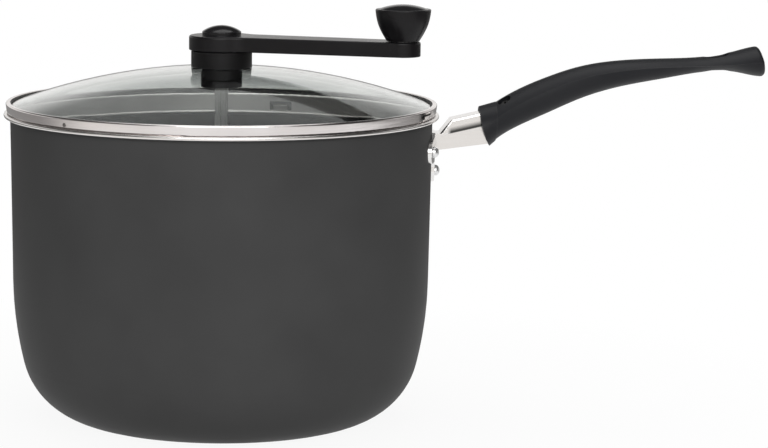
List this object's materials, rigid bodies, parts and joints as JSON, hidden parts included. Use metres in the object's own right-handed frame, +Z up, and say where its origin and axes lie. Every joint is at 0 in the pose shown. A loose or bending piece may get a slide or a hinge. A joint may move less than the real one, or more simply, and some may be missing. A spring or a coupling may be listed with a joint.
{
  "type": "stovetop popcorn popper",
  "caption": "Dark deep cooking pot with a vented glass lid, a hand crank on the lid that turns a stirrer above the pot's floor, and a long black handle on a riveted bracket.",
  "frame": {"origin": "centre of the pot's flat base, on the surface it stands on", "axes": "+Z up along the axis of pot, lid and crank; +X along the long handle; +Y to the right of somebody who holds the handle and looks at the pot"},
  "size_m": [0.4189, 0.24, 0.2336],
  "materials": {
    "pot_coating": "dark grey satin coating, with a bare bright rim",
    "bracket_steel": "polished pressed steel",
    "rivet_metal": "bright",
    "grip_plastic": "matte black moulded plastic",
    "fastener_steel": "zinc plated",
    "lid_glass": "clear tempered glass",
    "band_steel": "polished stainless strip",
    "soft_seal": "black silicone rubber",
    "crank_plastic": "black moulded plastic with a faint sheen",
    "cap_plastic": "black moulded plastic with a faint sheen",
    "bearing_plastic": "natural nylon",
    "stirrer_steel": "drawn stainless bar and strip"
  },
  "bodies": {
    "pot": {"pot_body": "pot_coating", "handle_bracket": "bracket_steel", "bracket_rivets": "rivet_metal", "handle_grip": "grip_plastic", "handle_screw": "fastener_steel"},
    "lid": {"lid_glass": "lid_glass", "lid_band": "band_steel", "lid_seal": "soft_seal", "lid_boss": "crank_plastic", "boss_gasket": "soft_seal", "lid_nut": "crank_plastic", "nut_gasket": "soft_seal", "shaft_bush": "bearing_plastic", "thrust_washer": "bearing_plastic"},
    "crank": {"crank_arm": "crank_plastic", "stirrer_shaft": "stirrer_steel", "shaft_circlip": "fastener_steel", "hub_washer": "fastener_steel", "hub_nut": "fastener_steel", "hub_cap": "cap_plastic", "stirrer_blade": "stirrer_steel", "stirrer_rivets": "rivet_metal", "knob_pin": "fastener_steel", "knob_nut": "fastener_steel", "knob_washer": "bearing_plastic"},
    "knob": {"crank_knob": "crank_plastic", "knob_cap": "cap_plastic"}
  },
  "joints": [
    {"name": "lid_lift", "type": "slide", "parent": "pot", "child": "lid", "axis": [0, 0, 1], "range_m": [0, 0.19]},
    {"name": "crank_turn", "type": "hinge", "parent": "lid", "child": "crank", "pos_m": [0, 0, 0.2], "axis": [0, 0, 1], "continuous": true},
    {"name": "knob_spin", "type": "hinge", "parent": "crank", "child": "knob", "pos_m": [0.09773, -0.03557, 0.222], "axis": [0, 0, 1], "continuous": true}
  ]
}
